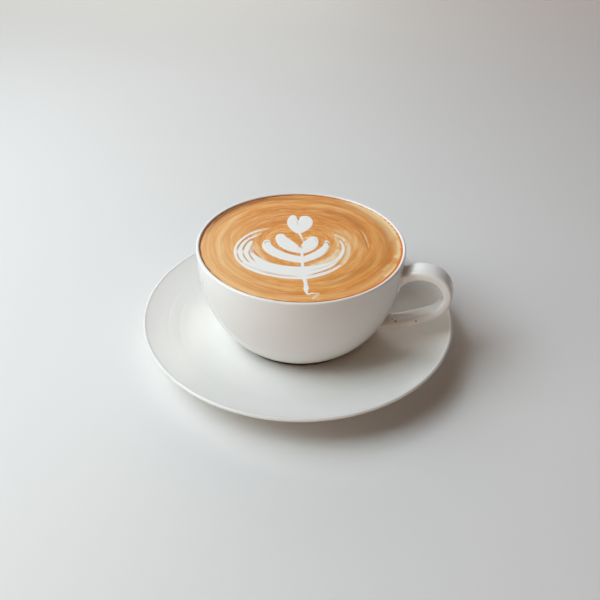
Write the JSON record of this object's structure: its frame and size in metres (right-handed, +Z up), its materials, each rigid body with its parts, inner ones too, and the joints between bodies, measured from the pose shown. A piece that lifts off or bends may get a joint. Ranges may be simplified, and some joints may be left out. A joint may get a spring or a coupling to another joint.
{
  "type": "cup of cappuccino",
  "caption": "Round-bellied white cup with an ear handle, filled to the lip with cappuccino under a poured milk-foam figure, standing on its saucer.",
  "frame": {"origin": "centre of the saucer's foot ring, on the surface it rests on", "axes": "+Z up, +X towards the cup's handle"},
  "size_m": [0.1526, 0.1526, 0.0569],
  "materials": {
    "saucer_glaze": "gloss",
    "cup_glaze": "gloss",
    "crema": "satin",
    "milk_foam": "satin"
  },
  "bodies": {
    "root": {"saucer": "saucer_glaze", "cup": "cup_glaze", "drink": "crema", "foam_heart": "milk_foam", "foam_rosetta": "milk_foam"}
  },
  "joints": []
}
